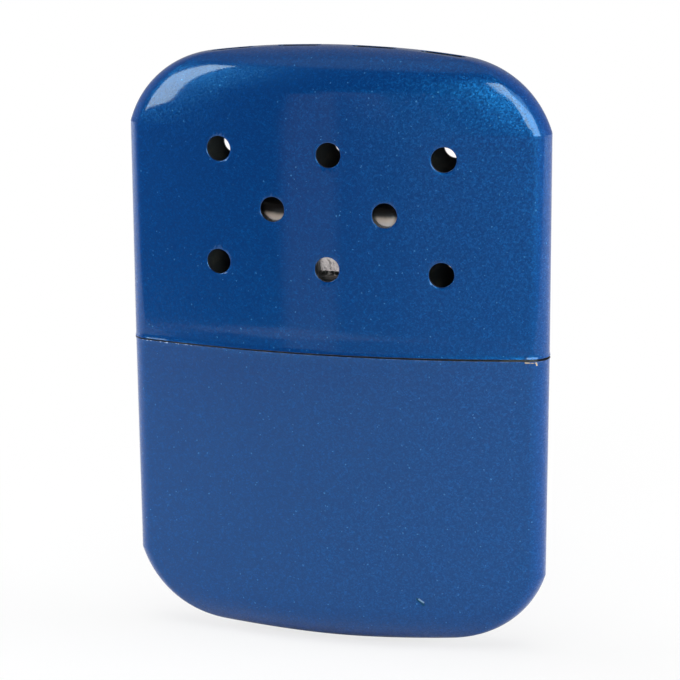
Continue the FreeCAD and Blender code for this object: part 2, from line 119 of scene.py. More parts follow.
class WarmerVents(bpy.types.PropertyGroup):
    """Sizes and places of the round vents and the crown slots."""

    diameter: length("Vent diameter", "Diameter of the round vents", 4.05 * MM)
    pitch: length("Vent pitch", "Distance between vents in a row", 18.55 * MM)
    row_pitch: length("Row pitch", "Distance between rows", 9.3 * MM)
    middle_height: length("Middle row", "Height of the middle row", 73.9 * MM)
    tilt: angle("Tilt", "How much the pattern leans", 0.8)
    slot_length: length("Slot length", "Length of the crown slots", 7.2 * MM)
    slot_width: length("Slot width", "Width of the crown slots", 1.7 * MM)
    slot_inner: length("Inner slots", "Distance between the two inner slots", 12.3 * MM)
    slot_outer: length("Outer slots", "Distance from an inner slot to the outer one", 11.2 * MM)
    rim: length("Rim", "Rounding that the punch leaves round each hole", 0.12 * MM)


class WarmerPaint(bpy.types.PropertyGroup):
    """Colours and grain of the lacquer."""

    deep: colour("Deep blue", "Colour between the flakes", (5, 43, 96))
    flake: colour("Flake blue", "Colour of the bright flakes", (9, 68, 131))
    primer: colour("Primer", "Colour under a chip", (166, 148, 112))
    flake_size: length("Flake size", "Size of one flake cell", 0.2 * MM)
    flake_tilt: share("Flake tilt", "How unevenly the flakes lie", 0.14)
    mottle_size: length("Mottle size", "Size of the soft cloudy grain", 0.7 * MM)
    coat: share("Clear coat", "Weight of the clear coat", 0.5)


class WarmerStudio(bpy.types.PropertyGroup):
    """Camera and light."""

    lens: bpy.props.FloatProperty(
        name="Lens", description="Focal length on a 36 mm sensor", default=127.4, unit="CAMERA"
    )
    distance: length("Distance", "From the camera to its target", 396.735 * MM)
    yaw: angle("Yaw", "How far the camera stands round to the right", 14.555)
    pitch: angle("Pitch", "How far the camera looks down", 14.351)
    roll: angle("Roll", "How far the camera is turned about its axis", 0.402)
    target_side: length("Target side", "Target's distance to the right of the middle", 0.17 * MM)
    target_height: length("Target height", "Height of the target", 51.249 * MM)
    floor_front: length("Floor front", "Where the pale floor ends in front", -0.205)
    floor_shade: share("Floor shade", "How much of the floor's shading the camera sees", 0.24)


# ---------------- the studio's surroundings

# The tent, in degrees. It is dark between two azimuths, with a soft edge, and grey everywhere else.
DARK_FRONT = (-68, 64, 8)
SIDE_SHADE = 0.4
FRONT_SHADE = 0.08
FRONT_PATCHES = (
    # left, right, low, high, soft edge, brightness that it adds
    (-90, 90, 55, 100, 5, 0.5),
    (-21.5, -13.5, -100, -6, 1.5, 0.5),
    (-13, 90, -100, -5, 3.0, 0.2),
    (-3, 90, -100, 5, 3.0, 0.12),
    (-16, -5, -7, 0, 1.5, 0.4),
)

# The lamps, in degrees. A glossy lamp shows only in polish, and any other one lights only matt surfaces.
GLOSSY_TINT = (0.78, 0.96, 1.0)
WHITE = (1.0, 1.0, 1.0)
SOFTBOXES = (
    # name, azimuth, elevation, lean, width, height, brightness (1 is white), glossy
    ("left_glint", -47.3, 26.3, 8, 5.5, 45.4, 13.0, True),
    ("right_glint", 20.4, 20.3, 0, 5.6, 34, 12.0, True),
    ("right_wing", 41.7, 13, 0, 36, 24, 9.0, True),
    ("right_haze", 41.7, 33, 0, 36, 16, 2.5, True),
    ("front_fill", 0, 3, 0, 12, 10, 50.0, False),
    ("top_fill", 0, 80, 0, 44, 44, 2.7, False),
    ("left_fill", -90, 5, 0, 30, 30, 20.0, False),
    ("right_fill", 94, 0, 0, 30, 30, 31.0, False),
)

# The right half of the floor's outline. Its front corners move with the studio's floor_front.
FLOOR_FRONT = ((0.08, 1.0), (0.23, 0.7))  # distance to the right, share of the way to the front edge
FLOOR_BACK = ((0.9, 0.1), (0.9, 1.6))  # distance to the right, distance to the back
FLOOR_PAINT = (0.78, 0.78, 0.78)
FLOOR_FADE = (0.06, 0.16)  # distances from the object between which the shading fades out


# ---------------- finishes, with colours in linear light

GLINT_BLUE = (0.1, 0.45, 0.85)
MIRROR_BLUE = (0.05, 0.42, 0.8)  # the tint of what the flakes mirror
WORN_AND_LIT_BLUE = (0.34, 0.44, 0.64)  # the rubbed edge at the seam, painted pale as a highlight
SCAR_BLUE = (0.004, 0.02, 0.05)
CHIP_BLUE = (0.14, 0.24, 0.36)
LACQUER_METALLIC = 0.1
SEAM_WEAR_AND_HIGHLIGHT = 0.24 * MM  # how far below the seam the lacquer is rubbed off and painted pale as a highlight
WORST_WEAR_AND_HIGHLIGHT = (-33.2 * MM, -24 * MM)  # the stretch from left to right where it is rubbed and painted pale most
CHIPS = {
    # start, end, radius and size of the ragged edge, in millimetres
    "tank_scar": ((14.6, -5.87, 9.25), (15.6, -5.72, 8.35), 0.24, 0.4),
    "tank_chip": ((14.9, -5.84, 9.25), (15.6, -5.72, 8.75), 0.15, 0.4),
    "seam_chip": ((31.8, -3.46, 50.17), (33.4, -2.88, 50.1), 0.17, 0.5),
    "seam_hook": ((33.4, -2.88, 50.1), (33.5, -2.83, 49.7), 0.13, 0.3),
}

STAIN = (0.16, 0.14, 0.12)
PLATED_STEELS = {
    # tint, roughness, stretch of the brush marks, share of stained spots
    # painted shade: the cut lips and vent walls are near black, standing in for the shade in the seam's gap
    # and the vents
    "shaded_cut_edge": ((0.05, 0.05, 0.055), 0.4, 1.0, 0.5),
    # painted shade: the inside of the cups is near black, standing in for the shade inside them
    "shaded_inside": ((0.07, 0.068, 0.066), 0.5, 0.2, 0.8),
    "collar_plate": ((0.72, 0.71, 0.68), 0.2, 0.15, 0.06),
    "neck_plate": ((0.68, 0.67, 0.64), 0.26, 0.2, 0.15),
    "retainer_plate": ((0.5, 0.48, 0.45), 0.35, 1.0, 0.6),
}

PLATE_PALE = (0.7, 0.65, 0.635)
PLATE_GREY = (0.64, 0.59, 0.55)
STRAW = (0.42, 0.27, 0.15)
BURNT = (0.014, 0.012, 0.012)
# Painted shade over the burner's lower part.
FOOT_SHADE = (0.035, 0.03, 0.028)
STRAW_DEPTHS = (2.6 * MM, 1.3 * MM)  # depths below the burner's top where the tint starts and is full
BURNT_DEPTHS = (1.6 * MM, 0.7 * MM)
FOOT_SHADE_HEIGHTS = (7.5 * MM, 11 * MM)  # heights above its foot where the painted shade is full and where it ends

FIBRES = {
    # light strands, hollows darkened as painted shade, size of the grain, sheen
    "catalyst_wool": ((0.97, 0.92, 0.91), (0.6, 0.55, 0.54), 0.25 * MM, 0.2),
    "fuel_cotton": ((0.86, 0.84, 0.78), (0.5, 0.48, 0.42), 0.5 * MM, 0.4),
}


# ---------------- steps and small measures of the meshes

FACE_STEPS, SIDE_STEPS = 92, 26  # points along a broad face and round a narrow side
VENT_STEPS, SLOT_END_STEPS = 64, 15  # points round a vent and round one end of a slot
PLUG_RINGS = ((-4.0, 1.45), (-0.3, 1.45), (0.0, 0.85), (0.3, 0.35), (0.6, 0.09), (1.0, 0.0))
PLUG_DEPTH = 3  # how deep a plug goes, in walls
CROWN_HALVINGS = 40  # how often the range in which the crown's surface lies is halved
SHARP_DEGREES = 32  # edges that bend more than this stay crisp

MAT_RINGS = 33
MAT_INSET = 0.22 * MM  # how far the block of wool stays inside the mat
MAT_ROOM = 0.05 * MM  # how far the hairs stay inside it
MAT_EDGE = 1.6 * MM  # rounding of the block's ends
HAIR_SEED = 7
HAIR_COUNT = 1300
HAIR_STEPS = 6
HAIR_RADIUS = 0.03 * MM
HAIR_REACH = (1.2, 3.2)  # shortest and longest hair, in millimetres
HAIR_RISE = 0.25  # how steeply a hair leaves the wool
HAIR_CURL = 0.45

COTTON_RINGS = 25
COTTON_FACE_STEPS, COTTON_SIDE_STEPS = 40, 10
COTTON_ROOM = 0.45 * MM  # space between a layer and the tank's wall
COTTON_TIP_ROOM = 0.4 * MM  # more space that is left at the tank's domed end
COTTON_FILL = 0.985  # share of its height that a layer fills
COTTON_EDGE = 1.2 * MM  # rounding of a layer's ends
COLLAR_ROOM = 0.6 * MM  # more space that is left where a layer stands in the collar


# ---------------- making meshes


def mesh_piece(name, points, faces, materials, face_material=None):
    """A new smooth-shaded mesh object whose faces look outwards."""
    mesh = bpy.data.meshes.new(name)
    mesh.from_pydata([tuple(point) for point in points], [], faces)
    for material in materials:
        mesh.materials.append(material)
    if face_material is not None:
        mesh.polygons.foreach_set("material_index", face_material)
    mesh.polygons.foreach_set("use_smooth", [True] * len(mesh.polygons))
    turned = bmesh.new()
    turned.from_mesh(mesh)
    bmesh.ops.recalc_face_normals(turned, faces=turned.faces)
    turned.to_mesh(mesh)
    turned.free()
    piece = bpy.data.objects.new(name, mesh)
    bpy.context.scene.collection.objects.link(piece)
    return piece


def skin_faces(ring_count, ring_size):
    """Faces that join rings of equal size, in order, with a flat cap at each end."""
    faces = []
    for ring in range(ring_count - 1):
        for step in range(ring_size):
            after = (step + 1) % ring_size
            low, high = ring * ring_size, (ring + 1) * ring_size
            faces.append((low + step, low + after, high + after, high + step))
    faces.append(tuple(reversed(range(ring_size))))
    faces.append(tuple(range((ring_count - 1) * ring_size, ring_count * ring_size)))
    return faces


def keep_result(piece):
    """Applies the piece's modifiers to its mesh."""
    view = bpy.context.evaluated_depsgraph_get()
    made = bpy.data.meshes.new_from_object(piece.evaluated_get(view))
    piece.modifiers.clear()
    piece.data = made


def dress_node(name, material):
    """Gives a piece of the frame its finish."""
    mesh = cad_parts[name].data
    mesh.materials.clear()
    mesh.materials.append(material)


# ---------------- the two drawn cups


class Cup:
    """The form of one cup, an oval that narrows from its mouth (rise 0) to its domed end (rise reach)."""

    straight_rings, shoulder_rings, dome_rings = 34, 54, 26
    rim_steps, lip_steps = 9, 6
    kink = np.array((-0.35, -0.12, 0, 0.12, 0.35)) * MM  # rings close to where the shoulder starts
    kink_turn = 0.035  # angle of the shoulder's arc that those rings take up

    def __init__(self, sizes, tip_rise):
        self.sizes = sizes
        self.centre = sizes.width / 2 + sizes.shoulder_overrun - sizes.shoulder_radius
        gap = sizes.dome_radius - sizes.shoulder_radius
        self.join = math.asin(self.centre / gap)
        flat = sizes.dome_radius * (1 - math.cos(self.join * sizes.tip_share))
        self.reach = tip_rise + flat
        self.corner_rise = self.reach - sizes.dome_radius + math.sqrt(gap**2 - self.centre**2)
        lean = self.corner_rise * math.tan(sizes.width_draft)
        self.corner_angle = math.acos((sizes.width / 2 - lean - self.centre) / sizes.shoulder_radius)

    def shoulder_start(self, inset):
        """Rise and half width where a straight side meets the corner's arc."""
        radius = self.sizes.shoulder_radius - inset
        rise = self.corner_rise + radius * math.sin(self.corner_angle)
        return rise, self.centre + radius * math.cos(self.corner_angle)

    def dome_start(self, inset):
        """Rise where the corner's arc meets the dome."""
        return self.corner_rise + (self.sizes.shoulder_radius - inset) * math.cos(self.join)

    def half_width(self, rise, inset):
        """Half the cup's width at this rise."""
        start, shoulder = self.shoulder_start(inset)
        if rise >= self.dome_start(inset):
            drop = rise - self.reach + self.sizes.dome_radius
            return math.sqrt(max((self.sizes.dome_radius - inset) ** 2 - drop**2, 0))
        if rise >= start:
            radius = self.sizes.shoulder_radius - inset
            return self.centre + math.sqrt(max(radius**2 - (rise - self.corner_rise) ** 2, 0))
        mouth = self.sizes.width / 2 - inset
        return mouth + (shoulder - mouth) * rise / start

    def half_thickness(self, rise, inset):
        """Half the cup's thickness at this rise."""
        plain = self.sizes.thickness / 2 - inset - rise * math.tan(self.sizes.thickness_draft)
        over = rise - self.reach + self.sizes.crown_depth
        if over <= 0:
            return plain
        return plain * math.sqrt(max(1 - (over / (self.sizes.crown_depth - inset)) ** 2, 0))

    def section(self, rise, inset):
        """Half width, half thickness and side radius at this rise."""
        wide = self.half_width(rise, inset)
        thick = self.half_thickness(rise, inset)
        side = thick * (self.sizes.side_radius - inset) / (self.sizes.thickness / 2 - inset)
        bell = max(1 - rise / self.sizes.flare_height, 0) ** 2 * self.sizes.flare
        hollow = math.exp(-((rise / self.sizes.dish_height - 1) ** 2)) * self.sizes.dish
        return wide + bell, thick + bell - hollow, side + bell

    @staticmethod
    def face_radius(wide, thick, side):
        """Radius of the broad faces of an oval with this half width, half thickness and side radius."""
        return (wide**2 + thick**2 - 2 * side * wide) / (2 * (thick - side))

    def half_depth(self, x, rise):
        """Distance from the middle plane to the outside of the broad face."""
        wide, thick, side = self.section(rise, 0.0)
        radius = self.face_radius(wide, thick, side)
        face = radius * (wide - side) / (radius - side)
        if abs(x) <= face:
            return math.sqrt(radius**2 - x**2) - (radius - thick)
        return math.sqrt(max(side**2 - (abs(x) - wide + side) ** 2, 0))

    def crown_rise(self, x, y):
        """Rise of the domed end over a point of the plan."""
        low, high = self.reach - self.sizes.crown_depth, self.reach - 1e-9
        for _ in range(CROWN_HALVINGS):
            middle = (low + high) / 2
            if abs(x) < self.half_width(middle, 0) and abs(y) < self.half_depth(x, middle):
                low = middle
            else:
                high = middle
        return low

    def outline(self, rise, inset, face_steps, side_steps):
        """Points round the oval, counterclockwise from above, from the left end of the front face."""
        wide, thick, side = self.section(rise, inset)
        radius = self.face_radius(wide, thick, side)
        turn = math.asin((wide - side) / (radius - side))
        front = np.linspace(-turn, turn, face_steps, endpoint=False)
        right = np.linspace(turn - math.pi / 2, math.pi / 2 - turn, side_steps, endpoint=False)
        face = np.stack((radius * np.sin(front), radius - thick - radius * np.cos(front)), 1)
        end = np.stack((wide - side + side * np.cos(right), side * np.sin(right)), 1)
        half = np.concatenate((face, end))
        return np.concatenate((half, -half))

    def rises(self, inset):
        """Rises of the rings on one skin, from the mouth to the tip."""
        sizes = self.sizes
        kink = self.shoulder_start(inset)[0] + self.kink
        straight = np.linspace(sizes.flare_height, kink[0], self.straight_rings, endpoint=False)
        first, last = self.corner_angle + self.kink_turn, math.pi / 2 - self.join
        turn = np.linspace(first, last, self.shoulder_rings, endpoint=False)
        shoulder = self.corner_rise + (sizes.shoulder_radius - inset) * np.sin(turn)
        swing = np.linspace(self.join, self.join * sizes.tip_share, self.dome_rings)
        dome = self.reach - sizes.dome_radius + (sizes.dome_radius - inset) * np.cos(swing)
        return np.concatenate((straight, kink, shoulder, dome))

    def profile(self):
        """Inset and rise of every ring, from the outer tip round the lip to the inner tip."""
        wall, radius = self.sizes.wall, self.sizes.lip_radius
        outer = [(0.0, rise) for rise in self.rises(0.0)[::-1]]
        near = np.linspace(self.sizes.flare_height, radius, self.rim_steps)[1:-1]
        outer += [(0.0, rise) for rise in near]
        quarter = np.linspace(0, math.pi / 2, self.lip_steps)
        lip = [(radius * (1 - math.cos(t)), radius * (1 - math.sin(t))) for t in quarter]
        inner_lip = [(wall - inset, rise) for inset, rise in reversed(lip)]
        inner = [(wall, rise) for rise in self.rises(wall)[::2]]
        return outer, lip + inner_lip, inner


def hole_cutter(outline, place, rim, depth):
    """A plug that follows a curved sheet and leaves a rounded rim, lacquered like the face round it.

    PLUG_RINGS says how far down and how far out each of its rings lies, in rims. Returns its points,
    its faces and the material that each face leaves behind.
    """
    profile = [(rim * down, rim * spread) for down, spread in PLUG_RINGS] + [(depth, 0.0)]
    rings = [[place(point, down) for point in outline(spread)] for down, spread in profile]
    ring_size = len(rings[0])
    # The cut walls take the near-black cut edge finish, painted shade.
    left_behind = [OUTSIDE] * (ring_size * (len(rings) - 2)) + [CUT_EDGE] * (ring_size + 2)
    return [point for ring in rings for point in ring], skin_faces(len(rings), ring_size), left_behind


def vent_places(vents):
    """Centres of the eight vents in one broad face, as distance to the right and height."""
    top, bottom = vents.row_pitch, -vents.row_pitch
    grid = [(column * vents.pitch, row) for row in (bottom, top) for column in (-1, 0, 1)]
    grid += [(column * vents.pitch / 2, 0.0) for column in (-1, 1)]
    cos, sin = math.cos(vents.tilt), math.sin(vents.tilt)
    return [(x * cos + up * sin, vents.middle_height + up * cos - x * sin) for x, up in grid]


def lid_cutters(cup, vents):
    """All the plugs that are cut from the lid, as one set of points, faces and materials."""
    points, faces, left_behind = [], [], []
    depth = PLUG_DEPTH * cup.sizes.wall

    def keep(new_points, new_faces, new_left_behind):
        base = len(points)
        points.extend(new_points)
        faces.extend(tuple(base + corner for corner in face) for face in new_faces)
        left_behind.extend(new_left_behind)

    turn = np.linspace(0, 2 * math.pi, VENT_STEPS, endpoint=False)
    for x, height in vent_places(vents):

        def circle(spread, x=x, height=height):
            radius = vents.diameter / 2 + spread
            return [(x + radius * math.cos(t), height + radius * math.sin(t)) for t in turn]

        def on_face(point, down):
            return point[0], -cup.half_depth(point[0], point[1] - SEAM) + down, point[1]

        front, *rest = hole_cutter(circle, on_face, vents.rim, depth)
        keep(front, *rest)
        keep([(-px, -py, pz) for px, py, pz in front], *rest)

    end = np.linspace(-math.pi / 2, math.pi / 2, SLOT_END_STEPS)
    inner = vents.slot_inner / 2
    for centre in (-inner - vents.slot_outer, -inner, inner, inner + vents.slot_outer):

        def stadium(spread, centre=centre):
            radius = vents.slot_width / 2 + spread
            straight = (vents.slot_length - vents.slot_width) / 2
            right = [(centre + straight + radius * math.cos(t), radius * math.sin(t)) for t in end]
            return right + [(2 * centre - px, -py) for px, py in right]

        def on_crown(point, down):
            return point[0], point[1], SEAM + cup.crown_rise(*point) - down

        keep(*hole_cutter(stadium, on_crown, vents.rim, depth))
    return points, faces, left_behind


def rim_lift(cup, x, rise):
    """How far a point of the lid is lifted, so that its rim stands a little open at the seam."""
    lifted_height = 4 * cup.sizes.flare_height
    near_mouth = max(1 - rise / lifted_height, 0) ** 2
    opened = (0.5 + x / cup.sizes.width) ** 2
    return near_mouth * (cup.sizes.left_gap + (cup.sizes.right_gap - cup.sizes.left_gap) * opened)


def make_cup(name, cup, upwards, materials):
    """One cup with its lacquered outside, and a cut lip and inside in near-black steel that paints the
    shade in them.
    """
    outer, lip, inner = cup.profile()
    rings = outer + lip + inner
    points = []
    for inset, rise in rings:
        for x, y in cup.outline(rise, inset, FACE_STEPS, SIDE_STEPS):
            height = rise + rim_lift(cup, x, rise) if upwards else -rise
            points.append((x, y, SEAM + height))
    ring_size = 2 * (FACE_STEPS + SIDE_STEPS)
    faces = skin_faces(len(rings), ring_size)
    zone = [OUTSIDE] * (len(outer) + 1) + [CUT_EDGE] * (len(lip) - 2) + [INSIDE] * len(inner)
    face_material = [part for part in zone for _ in range(ring_size)] + [OUTSIDE, INSIDE]
    return mesh_piece(name, points, faces, materials, face_material)


def cut_holes(piece, points, faces, left_behind):
    """Cuts the plugs out of a piece and leaves their materials on the cut walls."""
    plugs = mesh_piece("plugs", points, faces, piece.data.materials, left_behind)
    cut = piece.modifiers.new("holes", "BOOLEAN")
    cut.operation = "DIFFERENCE"
    cut.solver = "EXACT"
    cut.object = plugs
    keep_result(piece)
    bpy.data.objects.remove(plugs)


def settle_shading(piece):
    """Keeps crisp edges crisp and lets the large faces set the shading beside small ones."""
    piece.data.set_sharp_from_angle(angle=math.radians(SHARP_DEGREES))
    weigh = piece.modifiers.new("weigh", "WEIGHTED_NORMAL")
    weigh.keep_sharp = True
    weigh.weight = 80
    keep_result(piece)


# ---------------- nodes and finishes


def rgb(value):
    """A plain colour with its fourth part. Another node's output stays as it is."""
    return value if isinstance(value, bpy.types.NodeSocket) else (*value, 1.0)


class Finish:
    """Short ways to add and join the nodes of a material or of the world."""

    def __init__(self, owner):
        owner.use_nodes = True
        self.tree = owner.node_tree
        self.tree.nodes.clear()

    def add(self, kind, inputs=None, **settings):
        """A new node. An input is a plain value or another node's output."""
        made = self.tree.nodes.new(kind)
        for key, value in settings.items():
            setattr(made, key, value)
        for key, value in (inputs or {}).items():
            if isinstance(value, bpy.types.NodeSocket):
                self.tree.links.new(value, made.inputs[key])
            else:
                made.inputs[key].default_value = value
        return made

    def math(self, operation, *values):
        """The result of a math node."""
        return self.add("ShaderNodeMath", dict(enumerate(values)), operation=operation).outputs[0]

    def vector(self, operation, *values, **named):
        """The result of a vector math node: a plain value for a length or a dot product."""
        inputs = {**dict(enumerate(values)), **named}
        made = self.add("ShaderNodeVectorMath", inputs, operation=operation)
        return made.outputs["Value" if operation in ("LENGTH", "DOT_PRODUCT") else "Vector"]

    def blend(self, factor, first, second):
        """A colour between two colours."""
        inputs = {0: factor, 6: rgb(first), 7: rgb(second)}
        return self.add("ShaderNodeMix", inputs, data_type="RGBA").outputs[2]

    def mix(self, factor, first, second):
        """A shader between two shaders."""
        return self.add("ShaderNodeMixShader", {0: factor, 1: first, 2: second}).outputs[0]

    def step(self, value, low, high, to_low=0.0, to_high=1.0):
        """A smooth change from to_low to to_high while the value goes from low to high."""
        inputs = {"Value": value, "From Min": low, "From Max": high, "To Min": to_low, "To Max": to_high}
        made = self.add("ShaderNodeMapRange", inputs, interpolation_type="SMOOTHSTEP")
        return made.outputs["Result"]

    def noise(self, place, size, detail, distortion=0.0):
        """Soft noise with features of about this size."""
        inputs = {"Vector": place, "Scale": 1 / size, "Detail": detail, "Distortion": distortion}
        return self.add("ShaderNodeTexNoise", inputs).outputs["Fac"]

    def bump(self, height, depth, strength):
        """The surface's direction where this height dents it."""
        inputs = {"Strength": strength, "Distance": depth, "Height": height}
        return self.add("ShaderNodeBump", inputs).outputs[0]

    def band(self, value, low, high, edge):
        """1 between low and high, and 0 outside, with soft edges."""
        rising = self.step(value, low - edge, low + edge)
        falling = self.step(value, high - edge, high + edge, 1.0, 0.0)
        return self.math("MULTIPLY", rising, falling)

    def close(self, body, roughness, normal, others):
        """Adds the surface shader and the output."""
        inputs = {"Base Color": body, "Roughness": roughness, "Normal": normal, **others}
        surface = self.add("ShaderNodeBsdfPrincipled", inputs)
        self.add("ShaderNodeOutputMaterial", {"Surface": surface.outputs[0]})


def new_finish(name):
    """A new material, its nodes, and the place of a point on the piece as a vector and as x, y and z."""
    material = bpy.data.materials.new(name)
    finish = Finish(material)
    place = finish.add("ShaderNodeTexCoord").outputs["Object"]
    parts = finish.add("ShaderNodeSeparateXYZ", {0: place}).outputs
    return material, finish, place, parts


def chip_mask(finish, place, start, end, radius, grain):
    """1 on a chip that runs from start to end, with a ragged edge. Its measures are in millimetres."""
    start, end = Vector(start) * MM, Vector(end) * MM
    radius, grain = radius * MM, grain * MM
    edge = 0.1 * radius
    reach = (end - start).length
    heading = tuple((end - start).normalized())
    local = finish.vector("SUBTRACT", place, tuple(start))
    travel = finish.vector("DOT_PRODUCT", local, heading)
    held = finish.math("MINIMUM", finish.math("MAXIMUM", travel, 0.0), reach)
    nearest = finish.vector("SCALE", heading, Scale=held)
    away = finish.vector("LENGTH", finish.vector("SUBTRACT", local, nearest))
    ragged = finish.noise(place, grain, 3.0)
    limit = finish.math("MULTIPLY", finish.math("ADD", ragged, 0.5), radius)
    return finish.step(finish.math("SUBTRACT", limit, away), -edge, edge)


def seam_wear_and_highlight(finish, place, x, z):
    """1 where the edge below the seam is rubbed and painted pale as a highlight, which is mostly near its
    left end.
    """
    scuff = finish.noise(place, 0.55 * MM, 3.0)
    rim = finish.band(finish.math("SUBTRACT", z, SEAM), -SEAM_WEAR_AND_HIGHLIGHT, 0.0, 0.05 * MM)
    worst = finish.band(x, *WORST_WEAR_AND_HIGHLIGHT, 1 * MM)
    rubbed = finish.math("MULTIPLY", rim, finish.step(scuff, 0.5, 0.6))
    return finish.math("MULTIPLY", rubbed, finish.math("MULTIPLY_ADD", worst, 0.9, 0.1))


def blue_lacquer(paint):
    """Blue metallic lacquer under a clear coat, with chips and a worn edge at the seam that is also painted
    pale as a highlight.
    """
    material, finish, place, (x, _, z) = new_finish("blue_lacquer")
    cells = finish.add("ShaderNodeTexVoronoi", {"Vector": place, "Scale": 1 / paint.flake_size})
    cell = cells.outputs["Color"]
    shade, spark, _ = finish.add("ShaderNodeSeparateColor", {0: cell}).outputs
    normal = finish.add("ShaderNodeNewGeometry").outputs["Normal"]
    uneven = finish.vector("SUBTRACT", cell, (0.5, 0.5, 0.5))
    tilt = finish.vector("SCALE", uneven, Scale=paint.flake_tilt)
    flaked = finish.vector("NORMALIZE", finish.vector("ADD", normal, tilt))

    mottle = finish.noise(place, paint.mottle_size, 3.0)
    cloud = finish.noise(place, 14 * MM, 2.0)
    grain = finish.step(mottle, 0.3, 0.75, 0.4, 1.0)
    bright = finish.math("MULTIPLY", finish.math("POWER", shade, 2.0), grain)
    body = finish.blend(bright, paint.deep, paint.flake)
    body = finish.blend(finish.step(cloud, 0.35, 0.7, 0.0, 0.12), body, paint.deep)
    glint = finish.step(spark, 0.9955, 0.999, 0.0, 0.25)
    body = finish.blend(glint, body, GLINT_BLUE)

    # Painted highlight: the rubbed edge below the seam is painted pale blue as well as losing its coat.
    worn_and_lit = seam_wear_and_highlight(finish, place, x, z)
    chips = {name: chip_mask(finish, place, *measures) for name, measures in CHIPS.items()}
    chipped = finish.math("MAXIMUM", chips["seam_chip"], chips["seam_hook"])
    body = finish.blend(chips["tank_scar"], body, SCAR_BLUE)
    body = finish.blend(chips["tank_chip"], body, CHIP_BLUE)
    body = finish.blend(worn_and_lit, body, WORN_AND_LIT_BLUE)
    body = finish.blend(chipped, body, paint.primer)
    gone = finish.math("MAXIMUM", finish.math("MAXIMUM", chipped, worn_and_lit), chips["tank_scar"])

    peel = finish.noise(place, 0.9 * MM, 2.0)
    others = {
        "Metallic": finish.math("MULTIPLY_ADD", gone, -LACQUER_METALLIC, LACQUER_METALLIC),
        "Specular IOR Level": 1.0,
        "Specular Tint": rgb(MIRROR_BLUE),
        "Coat Weight": finish.math("MULTIPLY_ADD", gone, -paint.coat, paint.coat),
        "Coat Roughness": 0.05,
        "Coat Normal": finish.bump(peel, depth=0.02 * MM, strength=0.12),
    }
    finish.close(body, finish.step(mottle, 0.3, 0.7, 0.31, 0.28), flaked, others)
    return material


def plated_steel(name):
    """Plated sheet with fine brush marks and dull spots. The cut edge and the inside are near black,
    painted shade.
    """
    tint, roughness, brush, spots = PLATED_STEELS[name]
    material, finish, place, _ = new_finish(name)
    stretched = finish.vector("MULTIPLY", place, (1.0, 1.0, brush))
    marks = finish.noise(stretched, 0.12 * MM, 3.0)
    dull = finish.noise(place, 1.8 * MM, 4.0)
    scratched = finish.step(marks, 0.3, 0.7, -0.05, 0.06)
    spotted = finish.step(dull, 0.4, 0.8, roughness, roughness + 0.4 * spots)
    body = finish.blend(finish.step(dull, 0.45, 0.75, 0.0, spots), tint, STAIN)
    dents = finish.bump(marks, depth=0.006 * MM, strength=0.25)
    finish.close(body, finish.math("ADD", scratched, spotted), dents, {"Metallic": 1.0})
    return material


def heated_plate():
    """Nickel plate of the burner: dull, with a heat-blackened crown and painted shade darkening it towards
    its foot.
    """
    material, finish, place, (_, _, z) = new_finish("burner_plate")
    low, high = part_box("burner_grille")
    wander = finish.noise(place, 3.5 * MM, 3.0)
    level = finish.math("ADD", z, finish.math("MULTIPLY", wander, 0.8 * MM))
    straw = finish.step(level, *[high.z - depth for depth in STRAW_DEPTHS], 0.0, 0.45)
    crown = finish.step(level, *[high.z - depth for depth in BURNT_DEPTHS])
    patches = finish.noise(place, 2.2 * MM, 4.0)
    ragged = finish.math("ADD", z, finish.math("MULTIPLY", patches, 5 * MM))
    # Painted shade: darker towards the burner's foot.
    foot = finish.step(ragged, *[low.z + height for height in FOOT_SHADE_HEIGHTS], 0.92, 0.0)
    body = finish.blend(finish.step(wander, 0.35, 0.65), PLATE_PALE, PLATE_GREY)
    body = finish.blend(straw, body, STRAW)
    body = finish.blend(crown, body, BURNT)
    body = finish.blend(foot, body, FOOT_SHADE)
    grain = finish.noise(place, 0.16 * MM, 4.0)
    dents = finish.bump(grain, depth=0.01 * MM, strength=0.5)
    finish.close(body, finish.step(grain, 0.3, 0.7, 0.34, 0.5), dents, {"Metallic": 0.3})
    return material


def fibre_finish(name):
    """Loose fibre: pale strands over hollows darkened as painted shade."""
    light, dark, grain_size, sheen = FIBRES[name]
    material, finish, place, _ = new_finish(name)
    fibres = finish.noise(place, grain_size, 5.0, distortion=2.5)
    tufts = finish.noise(place, 9 * grain_size, 3.0)
    raised = finish.step(tufts, 0.2, 0.7, 0.5, 1.0)
    # Painted shade: the hollows between the raised strands are darker.
    height = finish.math("MULTIPLY", finish.step(fibres, 0.3, 0.65), raised)
    dents = finish.bump(fibres, depth=0.4 * grain_size, strength=0.7)
    finish.close(finish.blend(height, dark, light), 0.9, dents, {"Sheen Weight": sheen})
    return material


# ---------------- soft pieces


def lumpy(rings, seed, depth, lump):
    """Moves the points of a block of rings inwards by soft noise, deepest between the lumps."""
    plain = np.array([point for ring in rings for point in ring])
    centre = np.mean(plain, axis=0)
    half = np.max(np.abs(plain - centre), axis=0)
    fine_lump = lump / 3.3
    moved = []
    for point in plain:
        place = Vector(point)
        coarse = noise.noise(place / lump + Vector((seed, 0, 0)))
        fine = noise.noise(place / fine_lump + Vector((0, seed, 0)))
        push = depth * (0.5 + 0.36 * coarse + 0.2 * fine)
        inward = Vector((centre - point) / half)
        moved.append(place + inward.normalized() * max(push, 0))
    return moved


def strand_points(start, heading, reach, chance):
    """Points along one bent hair."""
    points = [Vector(start)]
    heading = Vector(heading).normalized()
    for _ in range(HAIR_STEPS):
        bend = Vector([chance.uniform(-1, 1) for _ in range(3)]) * HAIR_CURL
        heading = (heading + bend).normalized()
        points.append(points[-1] + heading * reach / HAIR_STEPS)
    return points


